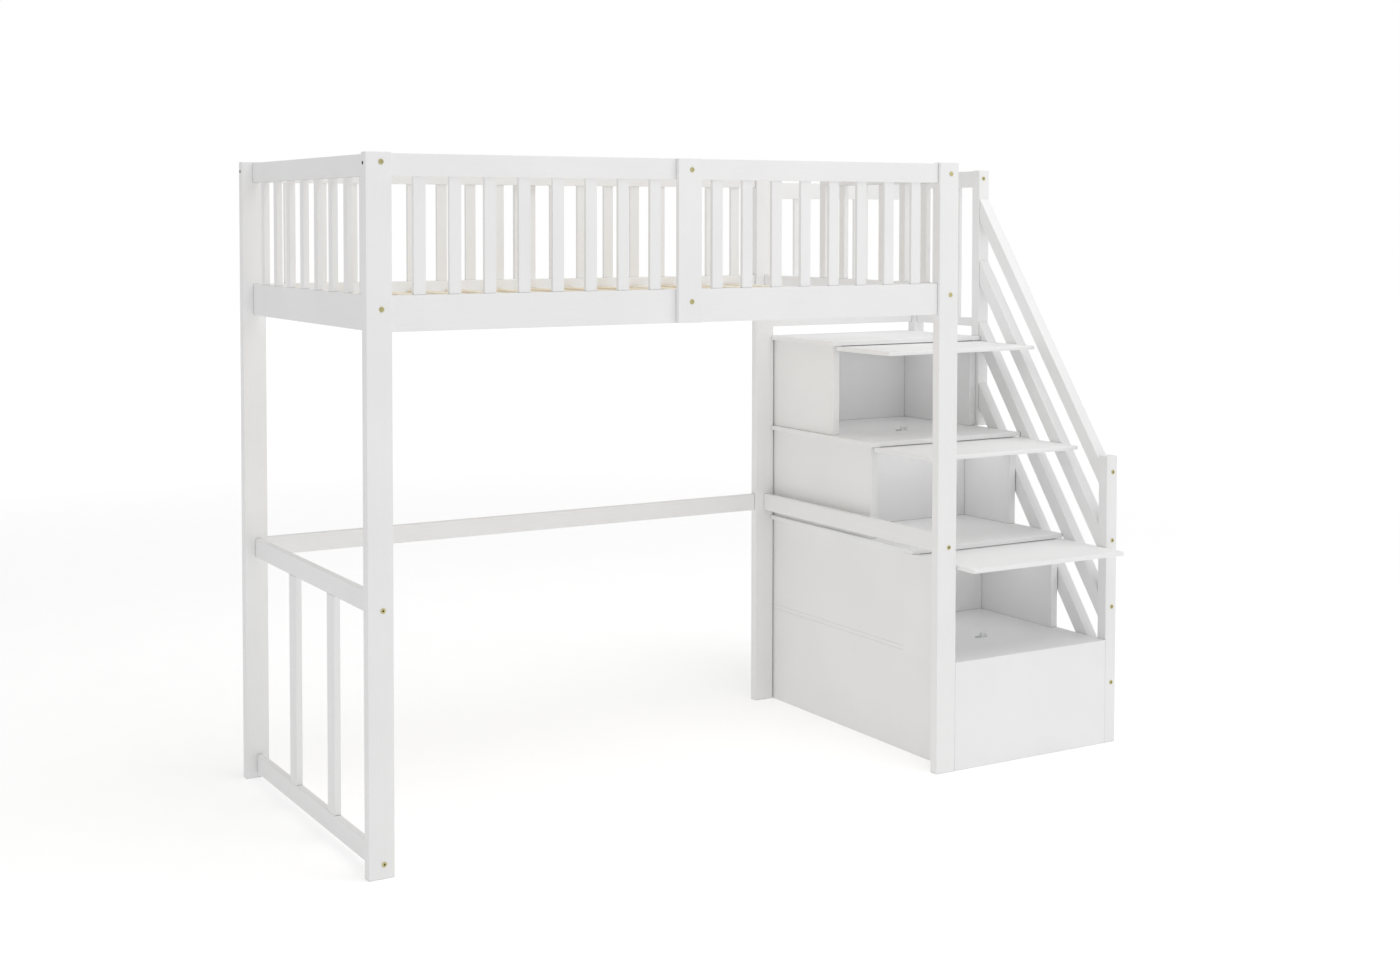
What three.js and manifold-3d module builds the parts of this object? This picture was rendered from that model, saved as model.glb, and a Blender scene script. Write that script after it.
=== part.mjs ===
// A loft bed with storage stairs, in millimetres, +Z up.
//
// Every piece is placed in a working frame: X runs along the bed from the outer face of the
// left posts towards the stairs, Y from the front face of the front posts to the back, and Z
// up from the floor. At the end the whole group is shifted, so that its origin lies on the
// floor under the middle of the outer box.

import * as THREE from "three";
import { mergeVertices } from "three/addons/utils/BufferGeometryUtils.js";
import Module from "manifold-3d";

const wasm = await Module();
wasm.setup();

// Bed frame: four flat posts and the rails between them.
const bed = {
  length: 2040,
  width: 1088,
  postWidth: 76,
  postDepth: 32,
  postAboveTopRail: 3,
  railThickness: 20,
  railRecess: 10,
  endRailReveal: 21,
  sideRailBottom: 1495,
  sideRailHeight: 100,
  guardOpening: 324,
  topRailHeight: 62,
};
const lowerEnd = {
  midRailBottom: 716,
  midRailHeight: 60,
  footRailBottom: 15,
  footRailHeight: 60,
  uprightWidth: 58,
  uprightEndGapShare: 1.194,
  uprightCount: 2,
};
const joiningBoard = { width: 80, thickness: 16 };
const guard = {
  sideBalusterWidth: 36,
  sideBalusterThickness: 12,
  sideFirstGap: 69,
  sidePitch: 107,
  endBalusterWidth: 30,
  endBalusterThickness: 18,
  leftEndCount: 8,
  leftEndGapShare: 0.87,
  rightEndCount: 5,
  stileWidth: 32,
  stileSetback: 3,
};
const slats = {
  count: 13,
  width: 68,
  thickness: 18,
  endClearance: 4,
  belowRailTop: 31,
  ledgerWidth: 20,
  ledgerHeight: 30,
  ledgerEndGap: 4,
  strapWidth: 26,
  strapThickness: 2,
  strapBite: 1,
  strapInset: 216,
};

// Stair cabinet: a base box and three stepped tiers, each with a cubby behind a flap.
const stair = {
  gapToPosts: 5,
  width: 655,
  panelThickness: 28,
  boardThickness: 15,
  sideBoardThickness: 15,
  sideBoardLap: 20,
  nosing: 10,
  run: 224,
  firstRise: 357,
  rise: 336.5,
  tiers: 3,
  frontPanelThickness: 18,
  cubbyBackThickness: 15,
  lowerCubbyDepth: 370,
  middleCubbyDepth: 248,
};
const flap = {
  thickness: 14,
  restGap: 0.5,
  sideClearance: 1.5,
  bottomGap: 12,
  edgeRadius: 4,
};
const hinge = {
  knuckleRadius: 2.6,
  runningGap: 0.4,
  leafThickness: 1.2,
  leafSetback: 1,
  endMargin: 26,
  knuckleGap: 0.6,
  pinRadius: 1.1,
  boreRadius: 1.5,
  knuckles: 12,
};

// Railing on the open side of the stairs and round the landing.
const railing = {
  newelWidth: 47,
  newelDepth: 40,
  frontNewelHeight: 991,
  barThickness: 42,
  barHeight: 50,
  barSpacing: 230,
  barCount: 4,
  handrailBelowFrontNewel: 60,
  handrailBelowUpperNewel: 148,
  guardInset: 10,
  sideTopRailHeight: 60,
  rearTopRailHeight: 60,
  rearTopRailDrop: 46,
  lowerRailHeight: 31,
  lowerRailAboveLanding: 34,
  sideBalusters: 2,
  rearBalusters: 4,
};

const cutOverrun = 5;
const roundSides = 12;
const edgeSteps = 4;

const paint = new THREE.MeshStandardMaterial({ color: "#ececeb", roughness: 0.45, metalness: 0 });
const pine = new THREE.MeshStandardMaterial({ color: "#d9bd91", roughness: 0.7, metalness: 0 });
const steel = new THREE.MeshStandardMaterial({ color: "#b9bbbd", roughness: 0.35, metalness: 1 });

const part = new THREE.Group();

function place(name, geometry, material) {
  const mesh = new THREE.Mesh(geometry, material);
  mesh.name = name;
  part.add(mesh);
}

// A box between two opposite corners. The corners are written to the vertices as they are,
// so that boxes with a face in the same plane meet exactly.
function box(a, b) {
  const low = a.map((value, axis) => Math.min(value, b[axis]));
  const high = a.map((value, axis) => Math.max(value, b[axis]));
  const geometry = new THREE.BoxGeometry(1, 1, 1);
  const corners = geometry.attributes.position;
  for (let i = 0; i < corners.count; i += 1) {
    corners.setX(i, corners.getX(i) < 0 ? low[0] : high[0]);
    corners.setY(i, corners.getY(i) < 0 ? low[1] : high[1]);
    corners.setZ(i, corners.getZ(i) < 0 ? low[2] : high[2]);
  }
  return geometry;
}

// A round bar along X.
function barAlongX(x0, x1, y, z, radius) {
  const geometry = new THREE.CylinderGeometry(radius, radius, x1 - x0, roundSides);
  geometry.rotateZ(-Math.PI / 2);
  geometry.translate((x0 + x1) / 2, y, z);
  return geometry;
}

// An outline drawn in Y and Z, extruded along X.
function extrudeAlongX(outline, x0, x1) {
  const depth = x1 - x0;
  const geometry = new THREE.ExtrudeGeometry(outline, { depth, bevelEnabled: false, curveSegments: edgeSteps });
  geometry.rotateX(Math.PI / 2);
  geometry.rotateZ(Math.PI / 2);
  geometry.translate(x0, 0, 0);
  return geometry;
}

function toSolid(geometry) {
  const bare = geometry.clone();
  bare.deleteAttribute("normal");
  bare.deleteAttribute("uv");
  const merged = mergeVertices(bare);
  return new wasm.Manifold(new wasm.Mesh({
    numProp: 3,
    vertProperties: new Float32Array(merged.attributes.position.array),
    triVerts: new Uint32Array(merged.index.array),
  }));
}

// One glued piece from several shapes, less the shapes in the second list.
function fuse(shapes, cuts = []) {
  let solid = shapes.map(toSolid).reduce((sum, next) => sum.add(next));
  for (const cut of cuts) {
    solid = solid.subtract(toSolid(cut));
  }
  const mesh = solid.getMesh();
  const geometry = new THREE.BufferGeometry();
  geometry.setAttribute("position", new THREE.BufferAttribute(mesh.vertProperties, 3));
  geometry.setIndex(new THREE.BufferAttribute(mesh.triVerts, 1));
  return geometry;
}

// Where each of several equal pieces starts, when they stand with equal gaps between two ends.
// The gap at either end can be another share of the gaps between the pieces.
function evenStarts(from, to, count, width, endGapShare = 1) {
  const gap = (to - from - count * width) / (count - 1 + 2 * endGapShare);
  return Array.from({ length: count }, (_, i) => from + endGapShare * gap + i * (width + gap));
}

// Heights and planes that the bed's pieces share.
const sideRailTop = bed.sideRailBottom + bed.sideRailHeight;
const topRailBottom = sideRailTop + bed.guardOpening;
const topRailTop = topRailBottom + bed.topRailHeight;
const topRailMiddle = (topRailBottom + topRailTop) / 2;
const postTop = topRailTop + bed.postAboveTopRail;
const midRailTop = lowerEnd.midRailBottom + lowerEnd.midRailHeight;
const innerLeft = bed.postWidth;
const innerRight = bed.length - bed.postWidth;
const innerFront = bed.postDepth;
const innerRear = bed.width - bed.postDepth;
const bedMiddle = bed.length / 2;
const sideBalusterInset = (bed.railThickness - guard.sideBalusterThickness) / 2;
const endBalusterInset = (bed.railThickness - guard.endBalusterThickness) / 2;

// The end rails lie at the same place in both end posts, so the right end isn't a mirror
// image of the left one.
const endRails = [["left", innerLeft], ["right", bed.length]].map(([name, postRight]) => {
  const x1 = postRight - bed.endRailReveal;
  return { name, x0: x1 - bed.railThickness, x1 };
});
const [leftRail, rightRail] = endRails;

// Nor is the rear a mirror image of the front: its rails lie as far behind the front face of
// their posts. Inwards is towards the middle of the bed.
function longSide(name, postFront, inwards) {
  const y0 = postFront + bed.railRecess;
  const y1 = y0 + bed.railThickness;
  const [outer, inner] = inwards > 0 ? [y0, y1] : [y1, y0];
  return { name, postFront, inwards, y0, y1, outer, inner };
}
const frontSide = longSide("front", 0, 1);
const rearSide = longSide("rear", innerRear, -1);
const sides = [frontSide, rearSide];

// Each long side is in halves that mirror each other.
const halves = [["left", (x) => x], ["right", (x) => bed.length - x]];

// Planes of the stair cabinet. A closed flap lies in front of its tier's panels.
const cabinetLeft = bed.length + stair.gapToPosts;
const cabinetRight = cabinetLeft + stair.width;
const insideLeft = cabinetLeft + stair.panelThickness;
const insideRight = cabinetRight - stair.panelThickness;
const boardLeft = cabinetLeft - stair.sideBoardThickness;
const cabinetBack = bed.width;
const riserFace = (tier) => tier * stair.run;
const tierFront = (tier) => riserFace(tier) + flap.thickness + flap.restGap;
const treadTop = (tier) => stair.firstRise + tier * stair.rise;
const underTread = (tier) => treadTop(tier) - stair.boardThickness;
const tierNames = ["base", "lower", "middle", "upper"];
const boardNames = ["first_tread", "second_tread", "third_tread", "landing_board"];

// Planes of the railing.
const railingRight = cabinetRight + railing.newelWidth;
const landingFace = riserFace(stair.tiers);
const landingTop = treadTop(stair.tiers);
const upperNewelBack = landingFace + railing.newelDepth;
const rearNewelFront = cabinetBack - railing.newelDepth;

// Posts: flat boards on edge, broad face to the front, one at each corner of the bed.
function addPosts() {
  for (const { name, postFront } of sides) {
    for (const [half, acrossX] of halves) {
      const corner = [acrossX(bed.postWidth), postFront + bed.postDepth, postTop];
      place(`post_${name}_${half}`, box([acrossX(0), postFront, 0], corner), paint);
    }
  }
}

// Long sides: a deep rail with a glued ledger for the slats, and above it a guard of one top
// rail and flat balusters. Both come in halves that meet in the middle of the bed.
function addLongSides() {
  const ledgerTop = sideRailTop - slats.belowRailTop - slats.thickness;
  const ledgerBottom = ledgerTop - slats.ledgerHeight;
  const lastStart = bedMiddle - joiningBoard.width / 2 - guard.sideBalusterWidth;
  for (const { name, inwards, y0, y1, outer, inner } of sides) {
    const ledgerInner = inner + inwards * slats.ledgerWidth;
    for (const [half, acrossX] of halves) {
      place(`side_rail_${name}_${half}`, fuse([
        box([acrossX(innerLeft), y0, bed.sideRailBottom], [acrossX(bedMiddle), y1, sideRailTop]),
        box([acrossX(innerLeft + slats.ledgerEndGap), (y0 + y1) / 2, ledgerBottom],
          [acrossX(bedMiddle), ledgerInner, ledgerTop]),
      ]), paint);

      const guardPieces = [box([acrossX(innerLeft), y0, topRailBottom], [acrossX(bedMiddle), y1, topRailTop])];
      for (let x = innerLeft + guard.sideFirstGap; x <= lastStart; x += guard.sidePitch) {
        guardPieces.push(box([acrossX(x), y0 + sideBalusterInset, sideRailTop],
          [acrossX(x + guard.sideBalusterWidth), y1 - sideBalusterInset, topRailMiddle]));
      }
      place(`guard_${name}_${half}`, fuse(guardPieces), paint);
    }
    place(`joining_board_${name}`, box(
      [bedMiddle - joiningBoard.width / 2, outer - inwards * joiningBoard.thickness, bed.sideRailBottom],
      [bedMiddle + joiningBoard.width / 2, outer, topRailTop]), paint);
  }
}

// Ends of the bed: a deep rail at mattress height and a mid rail at both, and at the left
// end also a foot rail and two uprights. A mid rail joins the rear posts too.
function addEndRails() {
  for (const { name, x0, x1 } of endRails) {
    place(`end_rail_${name}`, box([x0, innerFront, bed.sideRailBottom], [x1, innerRear, sideRailTop]), paint);
    place(`mid_rail_${name}`, box([x0, innerFront, lowerEnd.midRailBottom], [x1, innerRear, midRailTop]), paint);
  }
  place("mid_rail_rear", box([innerLeft, rearSide.y0, lowerEnd.midRailBottom],
    [innerRight, rearSide.y1, midRailTop]), paint);

  const { x0, x1 } = leftRail;
  const footRailTop = lowerEnd.footRailBottom + lowerEnd.footRailHeight;
  place("foot_rail_left", box([x0, innerFront, lowerEnd.footRailBottom], [x1, innerRear, footRailTop]), paint);
  const { uprightCount, uprightWidth, uprightEndGapShare } = lowerEnd;
  const starts = evenStarts(innerFront, innerRear, uprightCount, uprightWidth, uprightEndGapShare);
  starts.forEach((y, i) => place(`lower_upright_${i + 1}`,
    box([x0, y, footRailTop], [x1, y + uprightWidth, lowerEnd.midRailBottom]), paint));
}

// Guards across the ends. The right one is short and ends in a stile, and leaves the way in
// from the landing open.
function addEndGuards() {
  const uprights = (rail, starts, across, inset) => starts.map((y) => box(
    [rail.x0 + inset, y, sideRailTop], [rail.x1 - inset, y + across, topRailMiddle]));

  const width = guard.endBalusterWidth;
  const leftStarts = evenStarts(innerFront, innerRear, guard.leftEndCount, width, guard.leftEndGapShare);
  place("guard_left_end", fuse([
    box([leftRail.x0, innerFront, topRailBottom], [leftRail.x1, innerRear, topRailTop]),
    ...uprights(leftRail, leftStarts, width, endBalusterInset),
  ]), paint);

  const stileStart = landingFace + guard.stileSetback;
  const rightStarts = evenStarts(innerFront, stileStart, guard.rightEndCount, width);
  place("guard_right_end", fuse([
    box([rightRail.x0, innerFront, topRailBottom], [rightRail.x1, stileStart + guard.stileWidth, topRailTop]),
    ...uprights(rightRail, rightStarts, width, endBalusterInset),
    ...uprights(rightRail, [stileStart], guard.stileWidth, 0),
  ]), paint);
}

// Slats across the bed on the ledgers, held at their spacing by two straps let into them.
function addSlats() {
  const top = sideRailTop - slats.belowRailTop;
  const bottom = top - slats.thickness;
  const ends = sides.map(({ inner, inwards }) => [inner + inwards * slats.endClearance, inwards]);
  const [[front], [back]] = ends;
  const starts = evenStarts(innerLeft, innerRight, slats.count, slats.width);
  const pieces = starts.map((x) => box([x, front, bottom], [x + slats.width, back, top]));

  const strapTop = bottom + slats.strapBite;
  const strapLeft = starts[0] + slats.strapWidth;
  const strapRight = starts[slats.count - 1] + slats.width - slats.strapWidth;
  for (const [end, inwards] of ends) {
    const edge = end + inwards * slats.strapInset;
    pieces.push(box([strapLeft, edge, strapTop - slats.strapThickness],
      [strapRight, edge + inwards * slats.strapWidth, strapTop]));
  }
  place("slat_roll", fuse(pieces), pine);
}

// Base box: a front panel to the floor, side panels behind it and the first tread on top.
function addBase() {
  const panelBack = stair.frontPanelThickness;
  place("base_front_panel", box([bed.length, 0, 0], [cabinetRight, panelBack, treadTop(0)]), paint);
  place("base_side_left", box([cabinetLeft, panelBack, 0], [insideLeft, cabinetBack, underTread(0)]), paint);
  place("base_side_right", box([insideRight, panelBack, 0], [cabinetRight, cabinetBack, underTread(0)]), paint);
  place(boardNames[0], box([cabinetLeft, panelBack, underTread(0)], [cabinetRight, cabinetBack, treadTop(0)]), paint);
}

// Each tier stands on the tread below: two side panels, the back of its cubby, and on top the
// next tread. Its nosing stands out over the flap, and its left edge stands out sideways as
// far back as the bed's rear post.
function addTiers() {
  const upperCubbyDepth = cabinetBack - stair.cubbyBackThickness - tierFront(stair.tiers);
  const cubbyDepths = [stair.lowerCubbyDepth, stair.middleCubbyDepth, upperCubbyDepth];
  for (let tier = 1; tier <= stair.tiers; tier += 1) {
    const floor = treadTop(tier - 1);
    const under = underTread(tier);
    const front = tierFront(tier);
    const back = front + cubbyDepths[tier - 1];
    const name = tierNames[tier];
    place(`${name}_side_left`, box([cabinetLeft, front, floor], [insideLeft, cabinetBack, under]), paint);
    place(`${name}_side_right`, box([insideRight, front, floor], [cabinetRight, cabinetBack, under]), paint);
    place(`${name}_cubby_back`,
      box([insideLeft, back, floor], [insideRight, back + stair.cubbyBackThickness, under]), paint);
    const nosingFront = riserFace(tier) - stair.nosing;
    const outline = new THREE.Shape([
      [boardLeft, nosingFront], [cabinetRight, nosingFront], [cabinetRight, cabinetBack],
      [cabinetLeft, cabinetBack], [cabinetLeft, innerRear], [boardLeft, innerRear],
    ].map(([x, y]) => new THREE.Vector2(x, y)));
    const board = new THREE.ExtrudeGeometry(outline, { depth: stair.boardThickness, bevelEnabled: false });
    board.translate(0, 0, under);
    place(boardNames[tier], board, paint);
  }
}

// The board that closes the left side of the first step, from the front post to the lower
// tier, under the sideways overhang of the second tread.
function addSideBoard() {
  place("step_side_board", box([boardLeft, innerFront, underTread(0)],
    [cabinetLeft, tierFront(1) + stair.sideBoardLap, underTread(1)]), paint);
}

// Flaps, drawn open: each hangs on a hinge under the nosing and stands out level. The hinge
// axis lies on the front face of the closed flap, level with the upper face of the open one.
// A closed flap ends a finger's width above the tread.
function addFlaps() {
  const axisGap = hinge.knuckleRadius + hinge.runningGap;
  const x0 = cabinetLeft + flap.sideClearance;
  const x1 = cabinetRight - flap.sideClearance;
  for (let tier = 1; tier <= stair.tiers; tier += 1) {
    const axisY = riserFace(tier);
    const axisZ = underTread(tier) - axisGap;
    const closedBottom = treadTop(tier - 1) + flap.bottomGap;
    const back = axisY - axisGap;
    const front = axisY - (axisZ - closedBottom);
    const bottom = axisZ - flap.thickness;
    const r = flap.edgeRadius;
    const outline = new THREE.Shape();
    outline.moveTo(back, bottom);
    outline.lineTo(back, axisZ);
    outline.absarc(front + r, axisZ - r, r, Math.PI / 2, Math.PI, false);
    outline.absarc(front + r, bottom + r, r, Math.PI, Math.PI * 3 / 2, false);
    outline.closePath();
    place(`${tierNames[tier]}_flap`, extrudeAlongX(outline, x0, x1), paint);
    addHinge(`${tierNames[tier]}_hinge`, axisY, axisZ, x0 + hinge.endMargin, x1 - hinge.endMargin);
  }
}

// A long hinge. The fixed leaf lies under the nosing and its knuckles hold the pin. The moving
// leaf lies on the flap's rear edge and its bored knuckles turn on the pin.
function addHinge(name, axisY, axisZ, x0, x1) {
  const axisGap = hinge.knuckleRadius + hinge.runningGap;
  const leafDepth = flap.thickness - hinge.leafSetback;
  const pitch = (x1 - x0 + hinge.knuckleGap) / hinge.knuckles;
  const leafTop = axisZ + axisGap;
  const leafBottom = leafTop - hinge.leafThickness;
  const leafFront = axisY - axisGap;
  const leafBack = leafFront + hinge.leafThickness;
  const fixed = [
    box([x0, axisY + axisGap, leafBottom], [x1, axisY + leafDepth, leafTop]),
    barAlongX(x0 + hinge.knuckleGap, x1, axisY, axisZ, hinge.pinRadius),
  ];
  const moving = [
    box([x0, leafFront, axisZ - leafDepth], [x1, leafBack, axisZ - axisGap]),
  ];
  for (let i = 0; i < hinge.knuckles; i += 1) {
    const left = x0 + i * pitch;
    const right = left + pitch - hinge.knuckleGap;
    const knuckle = barAlongX(left, right, axisY, axisZ, hinge.knuckleRadius);
    if (i % 2 === 0) {
      fixed.push(knuckle, box([left, axisY, leafBottom], [right, axisY + leafDepth, leafTop]));
    } else {
      moving.push(knuckle, box([left, leafFront, axisZ - leafDepth], [right, leafBack, axisZ]));
    }
  }
  const bore = barAlongX(x0 - cutOverrun, x1 + cutOverrun, axisY, axisZ, hinge.boreRadius);
  place(`${name}_fixed_leaf`, fuse(fixed), steel);
  place(`${name}_moving_leaf`, fuse(moving, [bore]), steel);
}

// Three newels against the outer side of the cabinet: at the foot of the stairs, at the front
// of the landing, and at its rear corner.
function addNewels() {
  place("newel_front", box([cabinetRight, 0, 0], [railingRight, railing.newelDepth, railing.frontNewelHeight]), paint);
  place("newel_upper", box([cabinetRight, landingFace, treadTop(stair.tiers - 1)],
    [railingRight, upperNewelBack, postTop]), paint);
  place("newel_rear", box([cabinetRight, rearNewelFront, 0], [railingRight, cabinetBack, postTop]), paint);
}

// The handrail and the bars below it run parallel from newel to newel.
function addHandrail() {
  const y0 = railing.newelDepth;
  const y1 = landingFace;
  const handrailStart = railing.frontNewelHeight - railing.handrailBelowFrontNewel;
  const climb = postTop - railing.handrailBelowUpperNewel - handrailStart;
  const halfHeight = (railing.barHeight / 2) * Math.hypot(1, climb / (y1 - y0));
  const inset = (railing.newelWidth - railing.barThickness) / 2;
  for (let i = 0; i < railing.barCount; i += 1) {
    const z = handrailStart - i * railing.barSpacing;
    const outline = new THREE.Shape();
    outline.moveTo(y0, z - halfHeight);
    outline.lineTo(y1, z + climb - halfHeight);
    outline.lineTo(y1, z + climb + halfHeight);
    outline.lineTo(y0, z + halfHeight);
    outline.closePath();
    const name = i === 0 ? "handrail" : `stair_bar_${i}`;
    place(name, extrudeAlongX(outline, cabinetRight + inset, railingRight - inset), paint);
  }
}

// Guards round the landing: each is a top rail and a lower rail with balusters between.
function addLandingGuards() {
  const lowerBottom = landingTop + railing.lowerRailAboveLanding;
  const lowerTop = lowerBottom + railing.lowerRailHeight;
  const lowerMiddle = (lowerBottom + lowerTop) / 2;

  const sideLeft = cabinetRight + railing.guardInset;
  const sideRight = sideLeft + bed.railThickness;
  const sideRailBottom = topRailTop - railing.sideTopRailHeight;
  const width = guard.sideBalusterWidth;
  const sideStarts = evenStarts(upperNewelBack, rearNewelFront, railing.sideBalusters, width);
  place("landing_guard_side", fuse([
    box([sideLeft, upperNewelBack, sideRailBottom], [sideRight, rearNewelFront, topRailTop]),
    box([sideLeft, upperNewelBack, lowerBottom], [sideRight, rearNewelFront, lowerTop]),
    ...sideStarts.map((y) => box([sideLeft + sideBalusterInset, y, lowerMiddle],
      [sideRight - sideBalusterInset, y + width, (sideRailBottom + topRailTop) / 2])),
  ]), paint);

  const { y0, y1 } = rearSide;
  const rearTop = postTop - railing.rearTopRailDrop;
  const rearRailBottom = rearTop - railing.rearTopRailHeight;
  const rearStarts = evenStarts(bed.length, cabinetRight, railing.rearBalusters, width);
  place("landing_guard_rear", fuse([
    box([bed.length, y0, rearRailBottom], [cabinetRight, y1, rearTop]),
    box([bed.length, y0, lowerBottom], [cabinetRight, y1, lowerTop]),
    ...rearStarts.map((x) => box([x, y0 + sideBalusterInset, lowerMiddle],
      [x + width, y1 - sideBalusterInset, (rearRailBottom + rearTop) / 2])),
  ]), paint);
}

addPosts();
addLongSides();
addEndRails();
addEndGuards();
addSlats();
addBase();
addTiers();
addSideBoard();
addFlaps();
addNewels();
addHandrail();
addLandingGuards();

const outer = new THREE.Box3().setFromObject(part);
part.position.set(-(outer.min.x + outer.max.x) / 2, -(outer.min.y + outer.max.y) / 2, -outer.min.z);

export default part;
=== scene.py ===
import math

import bmesh
import bpy
from mathutils import Matrix, Vector


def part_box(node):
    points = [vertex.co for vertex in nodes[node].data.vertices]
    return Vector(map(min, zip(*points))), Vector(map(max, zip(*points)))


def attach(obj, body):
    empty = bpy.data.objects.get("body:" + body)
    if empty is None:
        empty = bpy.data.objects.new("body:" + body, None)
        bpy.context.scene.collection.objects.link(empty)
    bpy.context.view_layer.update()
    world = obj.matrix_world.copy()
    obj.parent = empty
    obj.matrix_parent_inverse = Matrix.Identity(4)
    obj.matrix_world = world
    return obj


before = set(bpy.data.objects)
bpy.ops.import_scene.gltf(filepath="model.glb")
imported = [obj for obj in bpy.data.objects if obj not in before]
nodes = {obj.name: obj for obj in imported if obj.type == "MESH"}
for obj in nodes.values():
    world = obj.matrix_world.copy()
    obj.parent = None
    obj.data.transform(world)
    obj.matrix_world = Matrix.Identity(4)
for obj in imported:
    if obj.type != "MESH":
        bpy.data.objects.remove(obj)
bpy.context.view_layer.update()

# The camera stands to the left of the bed, a little above eye height, and looks past the left
# end towards the stairs. The picture is a crop of a wider one, which is what the shift is.
eye = Vector((-3.2045, -5.1388, 1.802))
turn_to_the_right = math.radians(29.467)
tilt_down = math.radians(2.178)
camera_data = bpy.data.cameras.new("camera")
camera_data.sensor_width = 36
camera_data.lens = 47.22
camera_data.shift_x = 0.0571
camera_data.shift_y = -0.1364
camera_data.clip_end = 100
camera = bpy.data.objects.new("camera", camera_data)
camera.location = eye
camera.rotation_euler = (math.pi / 2 - tilt_down, 0, -turn_to_the_right)
bpy.context.scene.collection.objects.link(camera)
bpy.context.scene.camera = camera


# The studio floor is a wide sheet of opal acrylic, lit from below. It glows more the farther it
# lies from the bed, so that it runs into the white behind it and only soft shadows are left.
def to_linear(hex_colour):
    """An sRGB colour as the linear one that a node takes."""
    channels = [int(hex_colour[i:i + 2], 16) / 255 for i in (1, 3, 5)]
    return tuple(c / 12.92 if c <= 0.04045 else ((c + 0.055) / 1.055) ** 2.4 for c in channels) + (1,)


def add_node(material, kind, links=None, stops=(), **settings):
    """Adds a node. links gives its inputs, by name or number, another node's output or a value.
    settings gives other values by name, and stops the places and colours on a colour ramp."""
    node = material.node_tree.nodes.new(kind)
    for name, value in settings.items():
        label = name.replace("_", " ")
        if hasattr(node, name):
            setattr(node, name, value)
        else:
            node.inputs[label.title() if label.title() in node.inputs else label].default_value = value
    for name, source in (links or {}).items():
        if isinstance(source, bpy.types.NodeSocket):
            material.node_tree.links.new(source, node.inputs[name])
        else:
            node.inputs[name].default_value = source
    for number, (place, colour) in enumerate(stops):
        node.color_ramp.elements[number].position = place
        node.color_ramp.elements[number].color = to_linear(colour)
    return node


def new_material(name):
    material = bpy.data.materials.new(name)
    material.use_nodes = True
    material.node_tree.nodes.clear()
    return material


def backlit_acrylic():
    """Opal acrylic, cast: dull white, with a glow that is a little stronger as the camera sees it
    than as it lights the bed."""
    material = new_material("backlit_opal_acrylic")
    speckle_mm = 2.5
    near_glow = 0.215
    far_glow = 0.42
    picture_lift = 0.09
    glow_starts_m = 3.0
    glow_full_m = 11.0
    speckle = add_node(material, "ShaderNodeTexNoise", Scale=1000 / speckle_mm, Detail=2.0)
    tone = add_node(material, "ShaderNodeValToRGB", {"Fac": speckle.outputs["Fac"]},
                    stops=((0, "#F7F7F7"), (1, "#FBFBFB")))
    where = add_node(material, "ShaderNodeTexCoord")
    from_middle = add_node(material, "ShaderNodeVectorMath", {0: where.outputs["Object"]},
                           operation="LENGTH")
    glow = add_node(material, "ShaderNodeMapRange", {"Value": from_middle.outputs["Value"]},
                    interpolation_type="SMOOTHSTEP", From_Min=glow_starts_m, From_Max=glow_full_m,
                    To_Min=near_glow, To_Max=far_glow)
    ray = add_node(material, "ShaderNodeLightPath")
    glow_in_picture = add_node(material, "ShaderNodeMath",
                               {0: ray.outputs["Is Camera Ray"], 1: picture_lift,
                                2: glow.outputs["Result"]}, operation="MULTIPLY_ADD")
    shader = add_node(material, "ShaderNodeBsdfPrincipled",
                      {"Base Color": tone.outputs["Color"], "Emission Color": to_linear("#FFFFFF"),
                       "Emission Strength": glow_in_picture.outputs["Value"]}, Roughness=0.9)
    add_node(material, "ShaderNodeOutputMaterial", {"Surface": shader.outputs["BSDF"]})
    return material


floor_half = 30.0
floor_mesh = bpy.data.meshes.new("studio_floor")
floor_mesh.from_pydata([(-floor_half, -floor_half, 0), (floor_half, -floor_half, 0),
                        (floor_half, floor_half, 0), (-floor_half, floor_half, 0)], [], [(0, 1, 2, 3)])
floor_mesh.materials.append(backlit_acrylic())
studio_floor = bpy.data.objects.new("studio_floor", floor_mesh)
bpy.context.scene.collection.objects.link(studio_floor)

# Behind the floor stands a white sweep, which the camera sees at full white. The sky that
# lights the bed is the same white, but dimmer, so that its shaded sides keep their grey.
sweep_white = 1.0
sky_strength = 0.556
world = bpy.data.worlds.new("white_studio")
world.use_nodes = True
world.node_tree.nodes.clear()
sky = add_node(world, "ShaderNodeBackground", {"Color": to_linear("#FFFFFF")}, Strength=sky_strength)
sweep = add_node(world, "ShaderNodeBackground", {"Color": to_linear("#FFFFFF")}, Strength=sweep_white)
ray = add_node(world, "ShaderNodeLightPath")
seen_or_lit = add_node(world, "ShaderNodeMixShader",
                       {0: ray.outputs["Is Camera Ray"], 1: sky.outputs["Background"],
                        2: sweep.outputs["Background"]})
add_node(world, "ShaderNodeOutputWorld", {"Surface": seen_or_lit.outputs["Shader"]})
bpy.context.scene.world = world
bpy.context.scene.view_settings.view_transform = "Standard"


# A wide soft box hangs overhead, a little to the front, and a smaller one stands to the right.
# Tops are the lightest faces, and those turned to the left are the greyest.
def softbox(name, place, target, sides, watts):
    """An area lamp that shines from its place towards the target and isn't seen itself."""
    lamp = bpy.data.lights.new(name, "AREA")
    lamp.shape = "RECTANGLE"
    lamp.size, lamp.size_y = sides
    lamp.energy = watts
    stand = bpy.data.objects.new(name, lamp)
    stand.location = place
    stand.visible_camera = False
    stand.rotation_euler = (Vector(target) - Vector(place)).to_track_quat("-Z", "Y").to_euler()
    bpy.context.scene.collection.objects.link(stand)


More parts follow.
